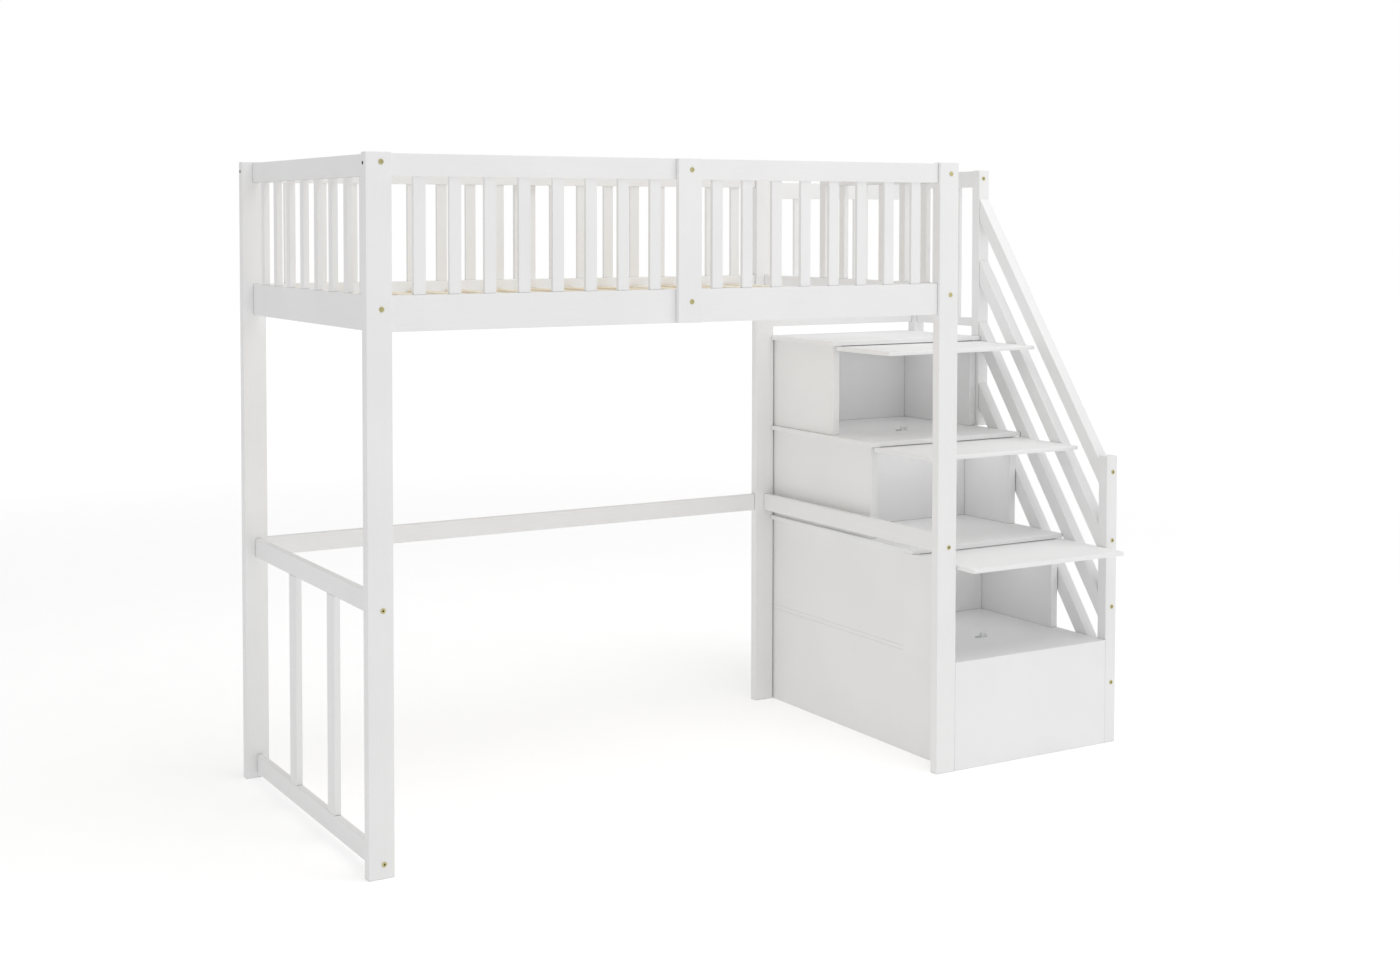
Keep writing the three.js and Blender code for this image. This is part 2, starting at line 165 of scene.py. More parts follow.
softbox("overhead_softbox", place=(0.8, -1.6, 6.5), target=(0.4, 0, 0.9), sides=(5.0, 5.0), watts=146)
softbox("right_softbox", place=(5.5, -6.0, 3.0), target=(1.0, 0, 0.9), sides=(3.0, 3.0), watts=26)

# A small card lamp lies under the ceiling of each cubby, so the inside isn't lost in the dark.
# It lies wholly behind the flap when that is shut, and then lights nothing outside.
card_width = 0.54
card_depth_share = 0.7
card_middle_share = 0.45
card_below_ceiling = 0.03
card_lean = 0.01
for tier, watts_per_metre in (("lower", 0.64), ("middle", 0.98), ("upper", 0.58)):
    left_low, left_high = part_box(f"{tier}_side_left")
    right_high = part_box(f"{tier}_side_right")[1]
    middle_x = (left_low.x + right_high.x) / 2
    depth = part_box(f"{tier}_cubby_back")[0].y - left_low.y
    card_y = left_low.y + depth * card_middle_share
    card_z = left_high.z - card_below_ceiling
    softbox(f"{tier}_cubby_card", place=(middle_x, card_y, card_z),
            target=(middle_x, card_y + card_lean, left_low.z),
            sides=(card_width, depth * card_depth_share), watts=depth * watts_per_metre)


# The bed's four posts are flat boards of planed pine, sprayed with satin white paint. The
# paint evens out the wood, but the grain still shows through as faint ridges along the board.
def painted_corner_shade_and_edge_wear(material, paint_colour):
    """Painted shade greys the paint within 4 mm of an inside corner or joint; edges rubbed thin are warmer.
    """
    corner_shade_mm = 4.0
    edge_mm = 2.5
    rub_mm = 35.0
    least_rub = 0.15
    cosine_on_face = 0.99
    cosine_on_edge = 0.85
    # Painted shade: ambient occlusion greys the paint within 4 mm of inside corners and joints, where shade
    # falls.
    corners = add_node(material, "ShaderNodeAmbientOcclusion", samples=4, Distance=corner_shade_mm / 1000)
    corner_shade_tone = add_node(material, "ShaderNodeValToRGB", {"Fac": corners.outputs["AO"]},
                          stops=((0.42, "#BEBEBD"), (0.72, "#FFFFFF")))
    # A mix node takes its share as input 0 and its two colours as inputs 6 and 7.
    with_corner_shade = add_node(material, "ShaderNodeMix",
                           {0: 1.0, 6: paint_colour, 7: corner_shade_tone.outputs["Color"]},
                           data_type="RGBA", blend_type="MULTIPLY")
    rounded = add_node(material, "ShaderNodeBevel", samples=4, Radius=edge_mm / 1000)
    face = add_node(material, "ShaderNodeNewGeometry")
    level = add_node(material, "ShaderNodeVectorMath",
                     {0: rounded.outputs["Normal"], 1: face.outputs["Normal"]}, operation="DOT_PRODUCT")
    on_edge = add_node(material, "ShaderNodeMapRange", {"Value": level.outputs["Value"]},
                       From_Min=cosine_on_face, From_Max=cosine_on_edge, To_Min=0.0, To_Max=1.0)
    where = add_node(material, "ShaderNodeTexCoord")
    handling = add_node(material, "ShaderNodeTexNoise", {"Vector": where.outputs["Object"]},
                        Scale=1000 / rub_mm, Detail=2.0)
    rubbed = add_node(material, "ShaderNodeMapRange", {"Value": handling.outputs["Fac"]},
                      From_Min=0.45, From_Max=0.65, To_Min=least_rub, To_Max=1.0)
    wear = add_node(material, "ShaderNodeMath",
                    {0: on_edge.outputs["Result"], 1: rubbed.outputs["Result"]}, operation="MULTIPLY")
    worn = add_node(material, "ShaderNodeMix",
                    {0: wear.outputs["Value"], 6: with_corner_shade.outputs[2], 7: to_linear("#FCF9F3")},
                    data_type="RGBA", blend_type="MULTIPLY")
    return worn.outputs[2]


def clouded_white(material, where, clouds_mm):
    """A white that wavers a little from place to place, as a sprayed coat does."""
    clouds = add_node(material, "ShaderNodeTexNoise", {"Vector": where}, Scale=1000 / clouds_mm, Detail=3.0)
    tone = add_node(material, "ShaderNodeValToRGB", {"Fac": clouds.outputs["Fac"]},
                    stops=((0.35, "#F4F4F4"), (0.65, "#F7F7F7")))
    return tone.outputs["Color"]


def satin_coat(material, where, colour, roughness, ground, peel_mm):
    """Satin polyurethane paint over that ground: soft highlights and a fine orange peel."""
    # The colour gets painted shade in inside corners and joints, and a worn, warmer tint on its edges.
    shaded = painted_corner_shade_and_edge_wear(material, colour)
    peel = add_node(material, "ShaderNodeTexNoise", {"Vector": where}, Scale=1000 / peel_mm, Detail=1.0)
    skin = add_node(material, "ShaderNodeBump", {"Height": peel.outputs["Fac"], "Normal": ground},
                    Strength=0.12, Distance=0.0002)
    shader = add_node(material, "ShaderNodeBsdfPrincipled",
                      {"Base Color": shaded, "Roughness": roughness, "Normal": skin.outputs["Normal"]},
                      IOR=1.5)
    add_node(material, "ShaderNodeOutputMaterial", {"Surface": shader.outputs["BSDF"]})


def pine_grain(material, where, axis, tilt):
    """Streaks 2.2 mm wide and 70 mm long, along that axis after the board is tilted about X.
    The grain of real pine is finer: this is as coarse as it needs to be to show."""
    across_mm = 2.2
    along_mm = 70.0
    streak_size = [across_mm / 1000] * 3
    streak_size[axis] = along_mm / 1000
    stretched = add_node(material, "ShaderNodeMapping", {"Vector": where}, vector_type="TEXTURE",
                         Rotation=(tilt, 0, 0), Scale=streak_size)
    return add_node(material, "ShaderNodeTexNoise", {"Vector": stretched.outputs["Vector"]},
                    Scale=1.0, Detail=4.0, Roughness=0.6).outputs["Fac"]


def painted_pine(grain_name, grain_axis, tilt=0.0, balusters=None):
    """Satin paint sprayed on pine: faint grain ridges and streaks under a soft gloss.
    balusters gives the heights between which the grain runs upright."""
    material = new_material("sprayed_satin_paint_on_pine_" + grain_name)
    peel_mm = 1.6
    clouds_mm = 260.0
    streak_share = 0.5
    where = add_node(material, "ShaderNodeTexCoord").outputs["Object"]
    grain = pine_grain(material, where, grain_axis, tilt)
    if balusters:
        low, high = balusters
        place = add_node(material, "ShaderNodeSeparateXYZ", {"Vector": where})
        on_baluster = add_node(material, "ShaderNodeMath",
                               {0: place.outputs["Z"], 1: (low + high) / 2, 2: (high - low) / 2},
                               operation="COMPARE")
        upright = pine_grain(material, where, 2, 0.0)
        grain = add_node(material, "ShaderNodeMix",
                         {0: on_baluster.outputs["Value"], 2: grain, 3: upright},
                         data_type="FLOAT").outputs[0]
    streaks = add_node(material, "ShaderNodeValToRGB", {"Fac": grain},
                       stops=((0.3, "#FAFAFA"), (0.6, "#FFFFFF")))
    colour = add_node(material, "ShaderNodeMix",
                      {0: streak_share, 6: clouded_white(material, where, clouds_mm),
                       7: streaks.outputs["Color"]}, data_type="RGBA", blend_type="MULTIPLY")
    sheen = add_node(material, "ShaderNodeMapRange", {"Value": grain}, To_Min=0.36, To_Max=0.5)
    ridges = add_node(material, "ShaderNodeBump", {"Height": grain}, Strength=0.14, Distance=0.0002)
    satin_coat(material, where, colour.outputs[2], sheen.outputs["Result"], ridges.outputs["Normal"], peel_mm)
    return material


# One paint for the boards along each axis, by the axis's number: 0 is X, 1 is Y and 2 is Z.
paint_along = [painted_pine("xyz"[axis], axis) for axis in range(3)]


def finish_piece(name, material, edge_mm):
    """Gives a CAD piece its finish and eases its edges, where faces turn by 30 degrees or more."""
    weld_mm = 0.01
    least_turn = math.radians(30)
    piece = nodes[name]
    piece.data.materials.clear()
    piece.data.materials.append(material)
    weld = piece.modifiers.new("joined_corners", "WELD")
    weld.merge_threshold = weld_mm / 1000
    ease = piece.modifiers.new("eased_edges", "BEVEL")
    ease.width = edge_mm / 1000
    ease.segments = 3
    ease.limit_method = "ANGLE"
    ease.angle_limit = least_turn
    ease.use_clamp_overlap = True


post_edge_mm = 1.8
for name in ("post_front_left", "post_front_right", "post_rear_left", "post_rear_right"):
    finish_piece(name, paint_along[2], post_edge_mm)


# The long sides come in halves: a deep rail and a guard of flat balusters under a top rail,
# all of planed pine, glued and pinned. A short board covers the joint in the middle.
long_edge_mm = 2.0
guard_edge_mm = 1.2
top_rail_height = 0.062
side_rail_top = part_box("side_rail_front_left")[1].z
guard_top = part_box("guard_front_left")[1].z
baluster_heights = (side_rail_top, guard_top - top_rail_height)
side_guard_paint = painted_pine("side_guards", 0, balusters=baluster_heights)
for side in ("front", "rear"):
    for half in ("left", "right"):
        finish_piece(f"side_rail_{side}_{half}", paint_along[0], long_edge_mm)
        finish_piece(f"guard_{side}_{half}", side_guard_paint, guard_edge_mm)
    finish_piece(f"joining_board_{side}", paint_along[2], long_edge_mm)


# The ends of the bed are pine too: rails from front post to rear post, balusters above the
# mattress and, at the left end, two uprights down to a foot rail. A rail joins the rear posts.
cross_rail_edge_mm = 2.0
upright_edge_mm = 1.5
for name in ("end_rail_left", "end_rail_right", "mid_rail_left", "mid_rail_right", "foot_rail_left"):
    finish_piece(name, paint_along[1], cross_rail_edge_mm)
finish_piece("mid_rail_rear", paint_along[0], cross_rail_edge_mm)
for name in ("lower_upright_1", "lower_upright_2"):
    finish_piece(name, paint_along[2], upright_edge_mm)
end_guard_paint = painted_pine("end_guards", 1, balusters=baluster_heights)
for name in ("guard_left_end", "guard_right_end"):
    finish_piece(name, end_guard_paint, guard_edge_mm)


# The slats are bare pine, planed and sanded, each from its own board. They keep the yellow of
# the wood, with darker growth rings along the slat and now and then a small knot. Two straps of
# white polyester webbing, fixed across their undersides, hold them at their distance.
def ring_colour(material, place_in_board):
    """Pale early wood with darker late wood lines about 5 mm apart, and a knot here and there.
    The lines are those of equal height on a slow noise, stretched along the slat."""
    ring_mm = 5.0
    rings_across = 6
    along_mm = 380.0
    knot_mm = 170.0
    radians_of_rings = 70.0
    across = 1000 / (ring_mm * rings_across)
    stretched = add_node(material, "ShaderNodeMapping", {"Vector": place_in_board},
                         Scale=(across, 1000 / along_mm, across))
    rings = add_node(material, "ShaderNodeTexNoise", {"Vector": stretched.outputs["Vector"]},
                     Scale=1.0, Detail=1.5)
    lines = add_node(material, "ShaderNodeMath", {0: rings.outputs["Fac"], 1: radians_of_rings},
                     operation="MULTIPLY")
    wave = add_node(material, "ShaderNodeMath", {0: lines.outputs["Value"]}, operation="SINE")
    level = add_node(material, "ShaderNodeMapRange", {"Value": wave.outputs["Value"]},
                     From_Min=-1.0, From_Max=1.0)
    ring_tone = add_node(material, "ShaderNodeValToRGB", {"Fac": level.outputs["Result"]},
                         stops=((0, "#F4F0E6"), (0.95, "#EADFCB")))
    knots = add_node(material, "ShaderNodeTexVoronoi", {"Vector": place_in_board}, Scale=1000 / knot_mm)
    knot_tone = add_node(material, "ShaderNodeValToRGB", {"Fac": knots.outputs["Distance"]},
                         stops=((0.03, "#B08A5C"), (0.08, "#FFFFFF")))
    with_knots = add_node(material, "ShaderNodeMix",
                          {0: 1.0, 6: ring_tone.outputs["Color"], 7: knot_tone.outputs["Color"]},
                          data_type="RGBA", blend_type="MULTIPLY")
    return with_knots.outputs[2]


def sanded_pine(material, where, across_slats):
    """Bare pine, plain sawn and sanded: dull and pale yellow, each slat with a tone of its own.
    The fibres are drawn wider than real ones, so that they show."""
    slat_pitch_mm = 139.7
    fibre_mm = 0.7
    fibre_length_mm = 28.0
    per_slat = add_node(material, "ShaderNodeMath", {0: across_slats, 1: slat_pitch_mm / 1000},
                        operation="DIVIDE")
    slat_number = add_node(material, "ShaderNodeMath", {0: per_slat.outputs["Value"]}, operation="FLOOR")
    board = add_node(material, "ShaderNodeTexWhiteNoise", {"W": slat_number.outputs["Value"]},
                     noise_dimensions="1D")
    place_in_board = add_node(material, "ShaderNodeVectorMath", {0: where, 1: board.outputs["Color"]},
                              operation="ADD")
    board_tone = add_node(material, "ShaderNodeValToRGB", {"Fac": board.outputs["Value"]},
                          stops=((0, "#F3EBDC"), (1, "#FFFFFF")))
    colour = add_node(material, "ShaderNodeMix",
                      {0: 1.0, 6: ring_colour(material, place_in_board.outputs["Vector"]),
                       7: board_tone.outputs["Color"]}, data_type="RGBA", blend_type="MULTIPLY")
    fibre_place = add_node(material, "ShaderNodeMapping", {"Vector": where},
                           Scale=(1000 / fibre_mm, 1000 / fibre_length_mm, 1000 / fibre_mm))
    fibre = add_node(material, "ShaderNodeTexNoise", {"Vector": fibre_place.outputs["Vector"]}, Scale=1.0)
    grooves = add_node(material, "ShaderNodeBump", {"Height": fibre.outputs["Fac"]},
                       Strength=0.3, Distance=0.0002)
    return add_node(material, "ShaderNodeBsdfPrincipled",
                    {"Base Color": colour.outputs[2], "Normal": grooves.outputs["Normal"]},
                    Roughness=0.72, IOR=1.5).outputs["BSDF"]


def polyester_webbing(material, where):
    """Woven polyester tape: dull, off-white, with a rib across it about every 1.6 mm."""
    rib_mm = 1.6
    # At scale 1, the wave texture runs through this many waves in a metre.
    waves_per_scale = 20 / (2 * math.pi)
    ribs = add_node(material, "ShaderNodeTexWave", {"Vector": where},
                    Scale=1000 / rib_mm / waves_per_scale, Distortion=0.4)
    tone = add_node(material, "ShaderNodeValToRGB", {"Fac": ribs.outputs["Fac"]},
                    stops=((0, "#D5D2CA"), (1, "#EFEDE8")))
    weave = add_node(material, "ShaderNodeBump", {"Height": ribs.outputs["Fac"]},
                     Strength=0.5, Distance=0.0004)
    return add_node(material, "ShaderNodeBsdfPrincipled",
                    {"Base Color": tone.outputs["Color"], "Normal": weave.outputs["Normal"]},
                    Roughness=0.85).outputs["BSDF"]


def strap_mask(material, across_bed, height):
    """1 on the two straps, which lie the same way in from either end of the slats."""
    strap_inset = 0.216
    strap_width = 0.026
    strap_thickness = 0.002
    slack = 0.0001
    low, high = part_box("slat_roll")
    strap_middle = (high.y - low.y) / 2 - strap_inset - strap_width / 2
    from_middle = add_node(material, "ShaderNodeMath", {0: across_bed, 1: (low.y + high.y) / 2},
                           operation="SUBTRACT")
    either_side = add_node(material, "ShaderNodeMath", {0: from_middle.outputs["Value"]},
                           operation="ABSOLUTE")
    in_line = add_node(material, "ShaderNodeMath",
                       {0: either_side.outputs["Value"], 1: strap_middle, 2: strap_width / 2 + slack},
                       operation="COMPARE")
    under_slats = add_node(material, "ShaderNodeMath", {0: height, 1: low.z + strap_thickness + slack},
                           operation="LESS_THAN")
    return add_node(material, "ShaderNodeMath",
                    {0: in_line.outputs["Value"], 1: under_slats.outputs["Value"]},
                    operation="MULTIPLY").outputs["Value"]


def slats_on_webbing():
    """The CAD piece is slats and straps in one, so the straps are told by their place."""
    material = new_material("sanded_bare_pine")
    where = add_node(material, "ShaderNodeTexCoord").outputs["Object"]
    place = add_node(material, "ShaderNodeSeparateXYZ", {"Vector": where})
    wood = sanded_pine(material, where, place.outputs["X"])
    webbing = polyester_webbing(material, where)
    on_strap = strap_mask(material, place.outputs["Y"], place.outputs["Z"])
    both = add_node(material, "ShaderNodeMixShader", {0: on_strap, 1: wood, 2: webbing})
    add_node(material, "ShaderNodeOutputMaterial", {"Surface": both.outputs["Shader"]})
    return material


slat_edge_mm = 1.5
finish_piece("slat_roll", slats_on_webbing(), slat_edge_mm)


# The stair cabinet is of fibreboard panels, filled and sprayed with the same satin paint. It
# has no grain, so only the paint's own fine orange peel and a slight unevenness are left.
def painted_board():
    """Satin paint sprayed on fibreboard: smoother than on pine, with a low, soft gloss."""
    material = new_material("sprayed_satin_paint_on_fibreboard")
    peel_mm = 2.0
    sag_mm = 45.0
    clouds_mm = 320.0
    where = add_node(material, "ShaderNodeTexCoord").outputs["Object"]
    sag = add_node(material, "ShaderNodeTexNoise", {"Vector": where}, Scale=1000 / sag_mm, Detail=2.0)
    sheen = add_node(material, "ShaderNodeMapRange", {"Value": sag.outputs["Fac"]},
                     To_Min=0.34, To_Max=0.46)
    waviness = add_node(material, "ShaderNodeBump", {"Height": sag.outputs["Fac"]},
                        Strength=0.1, Distance=0.0003)
    satin_coat(material, where, clouded_white(material, where, clouds_mm), sheen.outputs["Result"],
               waviness.outputs["Normal"], peel_mm)
    return material


board_paint = painted_board()
panel_edge_mm = 1.0
for name in ("base_front_panel", "base_side_left", "base_side_right", "step_side_board"):
    finish_piece(name, board_paint, panel_edge_mm)
for tier in ("lower", "middle", "upper"):
    for panel in ("side_left", "side_right", "cubby_back"):
        finish_piece(f"{tier}_{panel}", board_paint, panel_edge_mm)


# The treads and the landing board are of the same painted fibreboard. Their edges are eased by
# hand sanding, so the front edge catches the light as a bright line along each step.
tread_edge_mm = 1.5
for name in ("first_tread", "second_tread", "third_tread", "landing_board"):
    finish_piece(name, board_paint, tread_edge_mm)


# The three flaps are fibreboard as well, hung from the treads by long hinges. Each carries a
# thin steel plate near its free edge, which the magnet holds when the flap is shut.
flap_edge_mm = 1.0
for tier in ("lower", "middle", "upper"):
    finish_piece(f"{tier}_flap", board_paint, flap_edge_mm)


# The long hinges are folded from zinc-plated steel strip, left bright. The plating gives them
# a cool grey with a fine crystalline mottle.
def zinc_plate():
    """Bright zinc plate on cold-rolled steel: fairly glossy, with 3 mm patches of tone."""
    material = new_material("bright_zinc_plated_steel")
    patch_mm = 3.0
    where = add_node(material, "ShaderNodeTexCoord")
    patches = add_node(material, "ShaderNodeTexVoronoi", {"Vector": where.outputs["Object"]},
                       Scale=1000 / patch_mm)
    tone = add_node(material, "ShaderNodeValToRGB", {"Fac": patches.outputs["Distance"]},
                    stops=((0, "#B9BCBF"), (1, "#CDD0D2")))
    gloss = add_node(material, "ShaderNodeMapRange", {"Value": patches.outputs["Distance"]},
                     To_Min=0.24, To_Max=0.4)
    shader = add_node(material, "ShaderNodeBsdfPrincipled",
                      {"Base Color": tone.outputs["Color"], "Roughness": gloss.outputs["Result"]},
                      Metallic=1.0)
    add_node(material, "ShaderNodeOutputMaterial", {"Surface": shader.outputs["BSDF"]})
    return material


zinc = zinc_plate()
leaf_edge_mm = 0.15
for tier in ("lower", "middle", "upper"):
    for leaf in ("fixed_leaf", "moving_leaf"):
        finish_piece(f"{tier}_hinge_{leaf}", zinc, leaf_edge_mm)


# The newels, the handrail and the three bars under it are square-planed pine. The bars follow
# the slope of the stairs from newel to newel, so their grain is drawn along that slope.
newel_edge_mm = 2.5
for name in ("newel_front", "newel_upper", "newel_rear"):
    finish_piece(name, paint_along[2], newel_edge_mm)

rail_edge_mm = 3.0
rail_low, rail_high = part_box("handrail")
rail_below_front_newel = 0.060
rail_below_upper_newel = 0.148
rail_starts_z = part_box("newel_front")[1].z - rail_below_front_newel
rail_ends_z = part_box("newel_upper")[1].z - rail_below_upper_newel
rail_slope = math.atan2(rail_ends_z - rail_starts_z, rail_high.y - rail_low.y)
paint_along_slope = painted_pine("up_the_stairs", 1, rail_slope)
for name in ("handrail", "stair_bar_1", "stair_bar_2", "stair_bar_3"):
    finish_piece(name, paint_along_slope, rail_edge_mm)


# The guards round the landing match those of the bed: pine rails with flat balusters between,
# one along the open side and one across the rear.
landing_lower_rail = 0.031
landing_top_rail = 0.060
for name, axis in (("landing_guard_side", 1), ("landing_guard_rear", 0)):
    guard_low, guard_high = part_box(name)
    heights = (guard_low.z + landing_lower_rail, guard_high.z - landing_top_rail)
    finish_piece(name, painted_pine(name, axis, balusters=heights), guard_edge_mm)


# Furniture bolts with flat round heads and a hex socket hold posts, rails and newels. They
# are brass plated, and the plating has dulled to an olive yellow. Low down and on the newels
# the sockets are dark steel, painted shade for the deeper shadow that falls in them there.
def dulled_brass():
    """Brass plate on steel, unlacquered: warm, half dull, darker where it has tarnished."""
    material = new_material("dulled_brass_plate")
    tarnish_mm = 2.5
    where = add_node(material, "ShaderNodeTexCoord")
    tarnish = add_node(material, "ShaderNodeTexNoise", {"Vector": where.outputs["Object"]},
                       Scale=1000 / tarnish_mm, Detail=3.0)
    tone = add_node(material, "ShaderNodeValToRGB", {"Fac": tarnish.outputs["Fac"]},
                    stops=((0.35, "#B5AC72"), (0.65, "#DAD2A2")))
    gloss = add_node(material, "ShaderNodeMapRange", {"Value": tarnish.outputs["Fac"]},
                     To_Min=0.45, To_Max=0.3)
    shader = add_node(material, "ShaderNodeBsdfPrincipled",
                      {"Base Color": tone.outputs["Color"], "Roughness": gloss.outputs["Result"]},
                      Metallic=1.0)
    add_node(material, "ShaderNodeOutputMaterial", {"Surface": shader.outputs["BSDF"]})
    return material


def burnished_steel():
    """Oil-blackened steel: near black, with a soft metallic sheen and a faint brown mottle."""
    material = new_material("oil_blackened_steel")
    mottle_mm = 1.5
    where = add_node(material, "ShaderNodeTexCoord")
    mottle = add_node(material, "ShaderNodeTexNoise", {"Vector": where.outputs["Object"]},
                      Scale=1000 / mottle_mm)
    tone = add_node(material, "ShaderNodeValToRGB", {"Fac": mottle.outputs["Fac"]},
                    stops=((0, "#2A2723"), (1, "#4A443B")))
    shader = add_node(material, "ShaderNodeBsdfPrincipled", {"Base Color": tone.outputs["Color"]},
                      Metallic=1.0, Roughness=0.5)
    add_node(material, "ShaderNodeOutputMaterial", {"Surface": shader.outputs["BSDF"]})
    return material


def new_piece(name, mesh, materials):
    """Makes an object of a finished mesh. Its faces choose among the materials by number."""
    data = bpy.data.meshes.new(name)
    mesh.to_mesh(data)
    mesh.free()
    for material in materials:
        data.materials.append(material)
    piece = bpy.data.objects.new(name, data)
    bpy.context.scene.collection.objects.link(piece)
    return piece


def bolt_head(mesh, seat, radius_mm, proud_mm):
    """Adds one head: a disc with its edge cut off and a hex socket that goes nearly through.
    The socket's faces have material number 1, the others 0."""
    around = 24
    key_half_mm = radius_mm * 0.36
    edge_mm = proud_mm * 0.4
    edge_cut_mm = edge_mm * 0.3
    socket_floor_mm = proud_mm * 0.15
    flat_turn = math.pi / 3
    angles = [2 * math.pi * i / around for i in range(around)]
    outline = [(radius_mm, 0), (radius_mm, proud_mm - edge_mm),
               (radius_mm - edge_cut_mm, proud_mm - edge_cut_mm), (radius_mm - edge_mm, proud_mm)]
    rings = []
    for reach, height in outline:
        rings.append([(reach * math.cos(a), reach * math.sin(a), height) for a in angles])
    for height in (proud_mm, socket_floor_mm):
        ring = []
        for a in angles:
            from_flat = (a + flat_turn / 2) % flat_turn - flat_turn / 2
            reach = key_half_mm / math.cos(from_flat)
            ring.append((reach * math.cos(a), reach * math.sin(a), height))
        rings.append(ring)
    made = [[mesh.verts.new(seat @ Vector(point)) for point in ring] for ring in rings]
    socket_wall = len(made) - 2
    for number, (lower, upper) in enumerate(zip(made, made[1:])):
        for i in range(around):
            j = (i + 1) % around
            face = mesh.faces.new((lower[i], lower[j], upper[j], upper[i]))
            face.material_index = 1 if number == socket_wall else 0
    mesh.faces.new(made[-1]).material_index = 1
    mesh.faces.new(reversed(made[0]))


def bolt_heads(name, places, outwards, radius_mm, proud_mm, head_material, socket_material):
    """Flat round bolt heads with a hex socket, one at each place, standing out along outwards."""
    millimetres = Matrix.Scale(0.001, 4)
    turn = Vector(outwards).to_track_quat("Z", "Y").to_matrix().to_4x4()
    mesh = bmesh.new()
    for place in places:
        bolt_head(mesh, Matrix.Translation(Vector(place)) @ turn @ millimetres, radius_mm, proud_mm)
    piece = new_piece(name, mesh, (head_material, socket_material))
    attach(piece, "frame")


brass = dulled_brass()
dark_steel_and_socket_shade = burnished_steel()
bolt_radius_mm = 7.5
bolt_proud_mm = 1.5
left_bolt_inset = 0.045
right_bolt_inset = 0.01
board_bolt_shift = 0.006
top_bolt_z = 1.957
right_top_bolt_z = 1.948
side_rail_bolt_z = 1.558
mid_rail_bolt_z = 0.738
foot_rail_bolt_z = 0.040
post_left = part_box("post_front_left")[0].x
left_bolt_x = post_left + left_bolt_inset
right_bolt_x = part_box("end_rail_right")[0].x + right_bolt_inset
for side, outwards in (("front", (0, -1, 0)), ("rear", (0, 1, 0))):
    corner = 0 if side == "front" else 1
    face_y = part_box(f"post_{side}_left")[corner].y
    upper_bolts = [(left_bolt_x, face_y, z) for z in (top_bolt_z, side_rail_bolt_z)]
    upper_bolts += [(right_bolt_x, face_y, z) for z in (right_top_bolt_z, side_rail_bolt_z)]
    bolt_heads(f"post_bolts_{side}", upper_bolts, outwards, bolt_radius_mm, bolt_proud_mm, brass, brass)
    # The sockets of these lower bolts are dark steel: painted shade, as low down they lie in deeper shadow.
    lower_bolts = [(left_bolt_x, face_y, z) for z in (mid_rail_bolt_z, foot_rail_bolt_z)]
    lower_bolts.append((right_bolt_x, face_y, mid_rail_bolt_z))
    bolt_heads(f"lower_post_bolts_{side}", lower_bolts, outwards, bolt_radius_mm, bolt_proud_mm,
               brass, dark_steel_and_socket_shade)
    board_low, board_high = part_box(f"joining_board_{side}")
    board_face = (board_low, board_high)[corner].y
    board_middle = (board_low.x + board_high.x) / 2 + board_bolt_shift
    bolt_heads(f"joining_board_bolts_{side}",
               [(board_middle, board_face, z) for z in (right_top_bolt_z, side_rail_bolt_z)],
               outwards, bolt_radius_mm, bolt_proud_mm, brass, brass)

# The newel bolts' sockets are dark steel as well, as painted shade.
front_newel_bolt_inset = 0.027
front_newel_bolt_heights = (0.935, 0.699, 0.470, 0.208)
newel_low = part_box("newel_front")[0]
front_newel_bolt_x = newel_low.x + front_newel_bolt_inset
bolt_heads("newel_front_bolts", [(front_newel_bolt_x, newel_low.y, z) for z in front_newel_bolt_heights],
           (0, -1, 0), bolt_radius_mm, bolt_proud_mm, brass, dark_steel_and_socket_shade)

upper_newel_bolt_inset = 0.020
upper_newel_bolt_z = 1.953
upper_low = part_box("newel_upper")[0]
bolt_heads("newel_upper_bolts", [(upper_low.x + upper_newel_bolt_inset, upper_low.y, upper_newel_bolt_z)],
           (0, -1, 0), bolt_radius_mm, bolt_proud_mm, brass, dark_steel_and_socket_shade)


# Two smaller bolts go in from the left end of the bed, through the posts and into the top rails.
# They are blackened steel and sit nearly flush, so they read as small dark dots on the paint.
end_bolt_radius_mm = 5.0
end_bolt_proud_mm = 0.4
end_bolt_z = 1.954
end_bolts = []
for side in ("front", "rear"):
    rail_low, rail_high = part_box(f"guard_{side}_left")
    end_bolts.append((post_left, (rail_low.y + rail_high.y) / 2, end_bolt_z))
bolt_heads("end_bolts_left", end_bolts, (-1, 0, 0), end_bolt_radius_mm, end_bolt_proud_mm,
           dark_steel_and_socket_shade, dark_steel_and_socket_shade)


# A magnetic catch is screwed to each cubby floor, just behind the shut flap: a white moulded
# case that holds a magnet between two steel plates, and a steel tab beside it. The plate on
# the flap that it holds is pressed from the same zinc-plated steel.
def moulded_plastic():
    """White ABS, injection moulded: even and slightly glossy, with a faint spark-eroded grain,
    drawn coarser than the real one so that it shows."""
    material = new_material("moulded_white_abs")
    grain_mm = 0.6
    where = add_node(material, "ShaderNodeTexCoord")
    grain = add_node(material, "ShaderNodeTexNoise", {"Vector": where.outputs["Object"]},
                     Scale=1000 / grain_mm)
    tone = add_node(material, "ShaderNodeValToRGB", {"Fac": grain.outputs["Fac"]},
                    stops=((0, "#EFEFED"), (1, "#F7F7F5")))
    relief = add_node(material, "ShaderNodeBump", {"Height": grain.outputs["Fac"]},
                      Strength=0.2, Distance=0.0001)
    shader = add_node(material, "ShaderNodeBsdfPrincipled",
                      {"Base Color": tone.outputs["Color"], "Normal": relief.outputs["Normal"]},
                      Roughness=0.42, IOR=1.54)
    add_node(material, "ShaderNodeOutputMaterial", {"Surface": shader.outputs["BSDF"]})
    return material


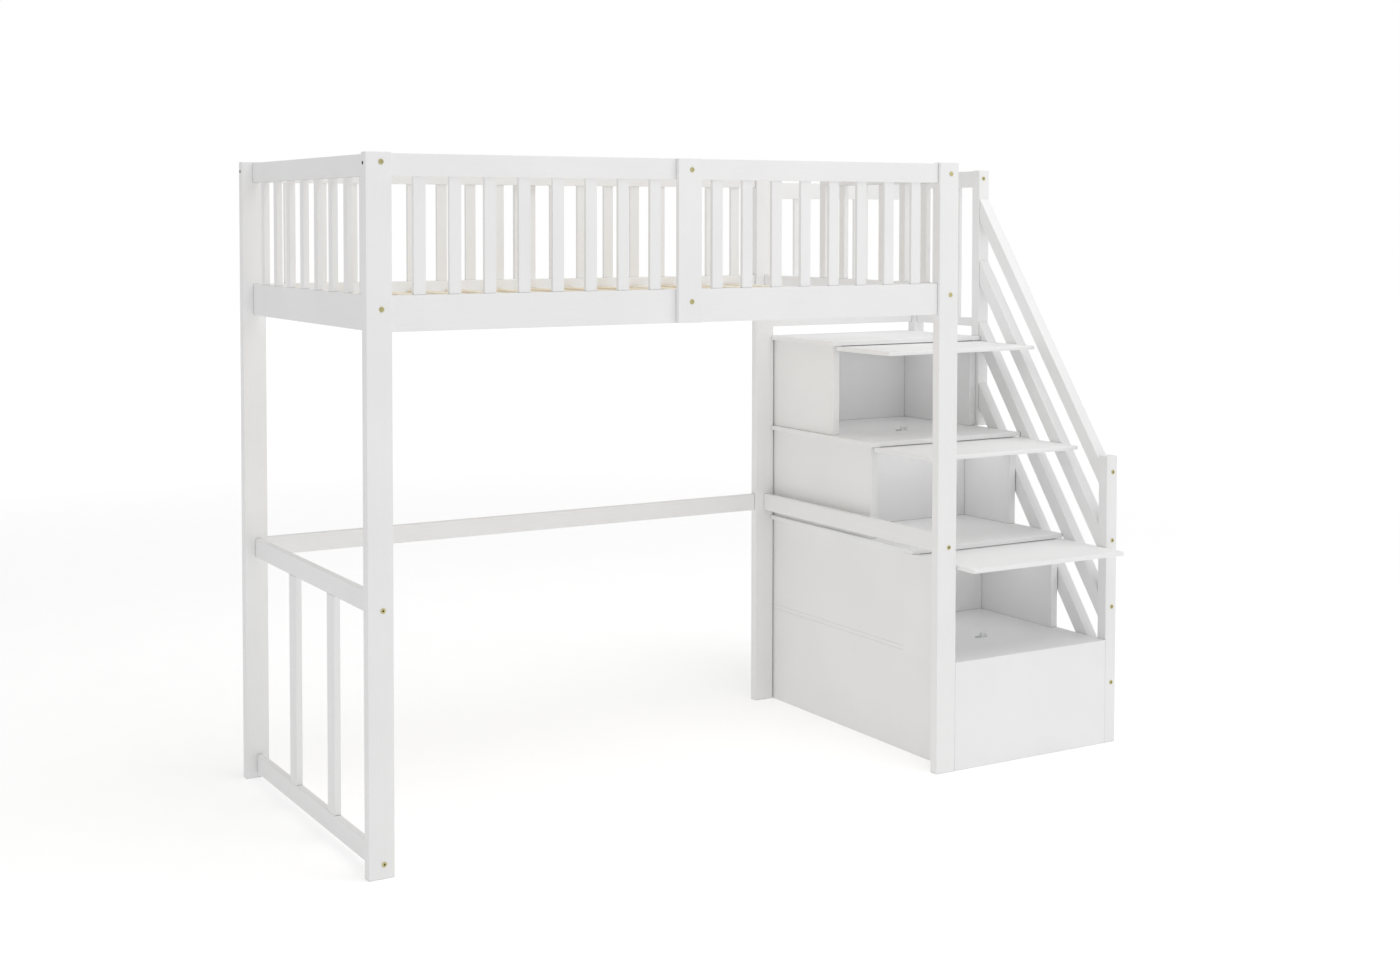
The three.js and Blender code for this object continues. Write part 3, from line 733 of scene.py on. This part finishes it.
def rounded_block(mesh, low, high, edge_mm):
    """Adds a block between two corners, with its edges rounded by that radius."""
    made = bmesh.ops.create_cube(mesh, size=1.0)["verts"]
    size = Vector(high) - Vector(low)
    middle = (Vector(high) + Vector(low)) / 2
    for vertex in made:
        vertex.co = Vector((vertex.co.x * size.x, vertex.co.y * size.y, vertex.co.z * size.z)) + middle
    edges = list({edge for vertex in made for edge in vertex.link_edges})
    bmesh.ops.bevel(mesh, geom=edges, offset=edge_mm / 1000, segments=2, affect="EDGES", profile=0.5)


def finished_piece(name, mesh, material, body):
    """Makes an object of a finished mesh that moves with that body."""
    piece = new_piece(name, mesh, (material,))
    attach(piece, body)


abs_white = moulded_plastic()
behind_panel_edge = 0.0035
case = Vector((0.026, 0.014, 0.015))
case_setback = 0.001
case_edge_mm = 1.5
tab = Vector((0.022, 0.010, 0.003))
tab_setback = 0.002
tab_under_case = 0.001
tab_edge_mm = 0.5
plate = Vector((0.008, 0.006, 0.001))
plate_lifts = (0.005, 0.009)
plate_edge_mm = 0.3
strike = Vector((0.022, 0.012, 0.001))
strike_inset = 0.004
strike_edge_mm = 0.4
for tier, floor_node in (("lower", "first_tread"), ("middle", "second_tread"), ("upper", "third_tread")):
    floor_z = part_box(floor_node)[1].z
    left_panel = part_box(f"{tier}_side_left")
    right_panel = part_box(f"{tier}_side_right")
    middle_x = (left_panel[0].x + right_panel[1].x) / 2
    front_y = left_panel[0].y + behind_panel_edge
    case_left = middle_x - case.x / 2
    case_mesh = bmesh.new()
    rounded_block(case_mesh, (case_left, front_y + case_setback, floor_z),
                  (middle_x + case.x / 2, front_y + case.y, floor_z + case.z), case_edge_mm)
    finished_piece(f"{tier}_catch_case", case_mesh, abs_white, "frame")

    plates_mesh = bmesh.new()
    tab_front = front_y + tab_setback
    rounded_block(plates_mesh, (case_left - tab.x, tab_front, floor_z),
                  (case_left + tab_under_case, tab_front + tab.y, floor_z + tab.z), tab_edge_mm)
    for lift in plate_lifts:
        plate_z = floor_z + lift
        rounded_block(plates_mesh, (middle_x - plate.x / 2, front_y, plate_z),
                      (middle_x + plate.x / 2, front_y + plate.y, plate_z + plate.z), plate_edge_mm)
    finished_piece(f"{tier}_catch_plates", plates_mesh, zinc, "frame")

    flap_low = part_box(f"{tier}_flap")[0]
    strike_front = flap_low.y + strike_inset
    strike_mesh = bmesh.new()
    rounded_block(strike_mesh, (middle_x - strike.x / 2, strike_front, flap_low.z - strike.z),
                  (middle_x + strike.x / 2, strike_front + strike.y, flap_low.z), strike_edge_mm)
    finished_piece(f"{tier}_flap_strike", strike_mesh, zinc, f"{tier}_flap")
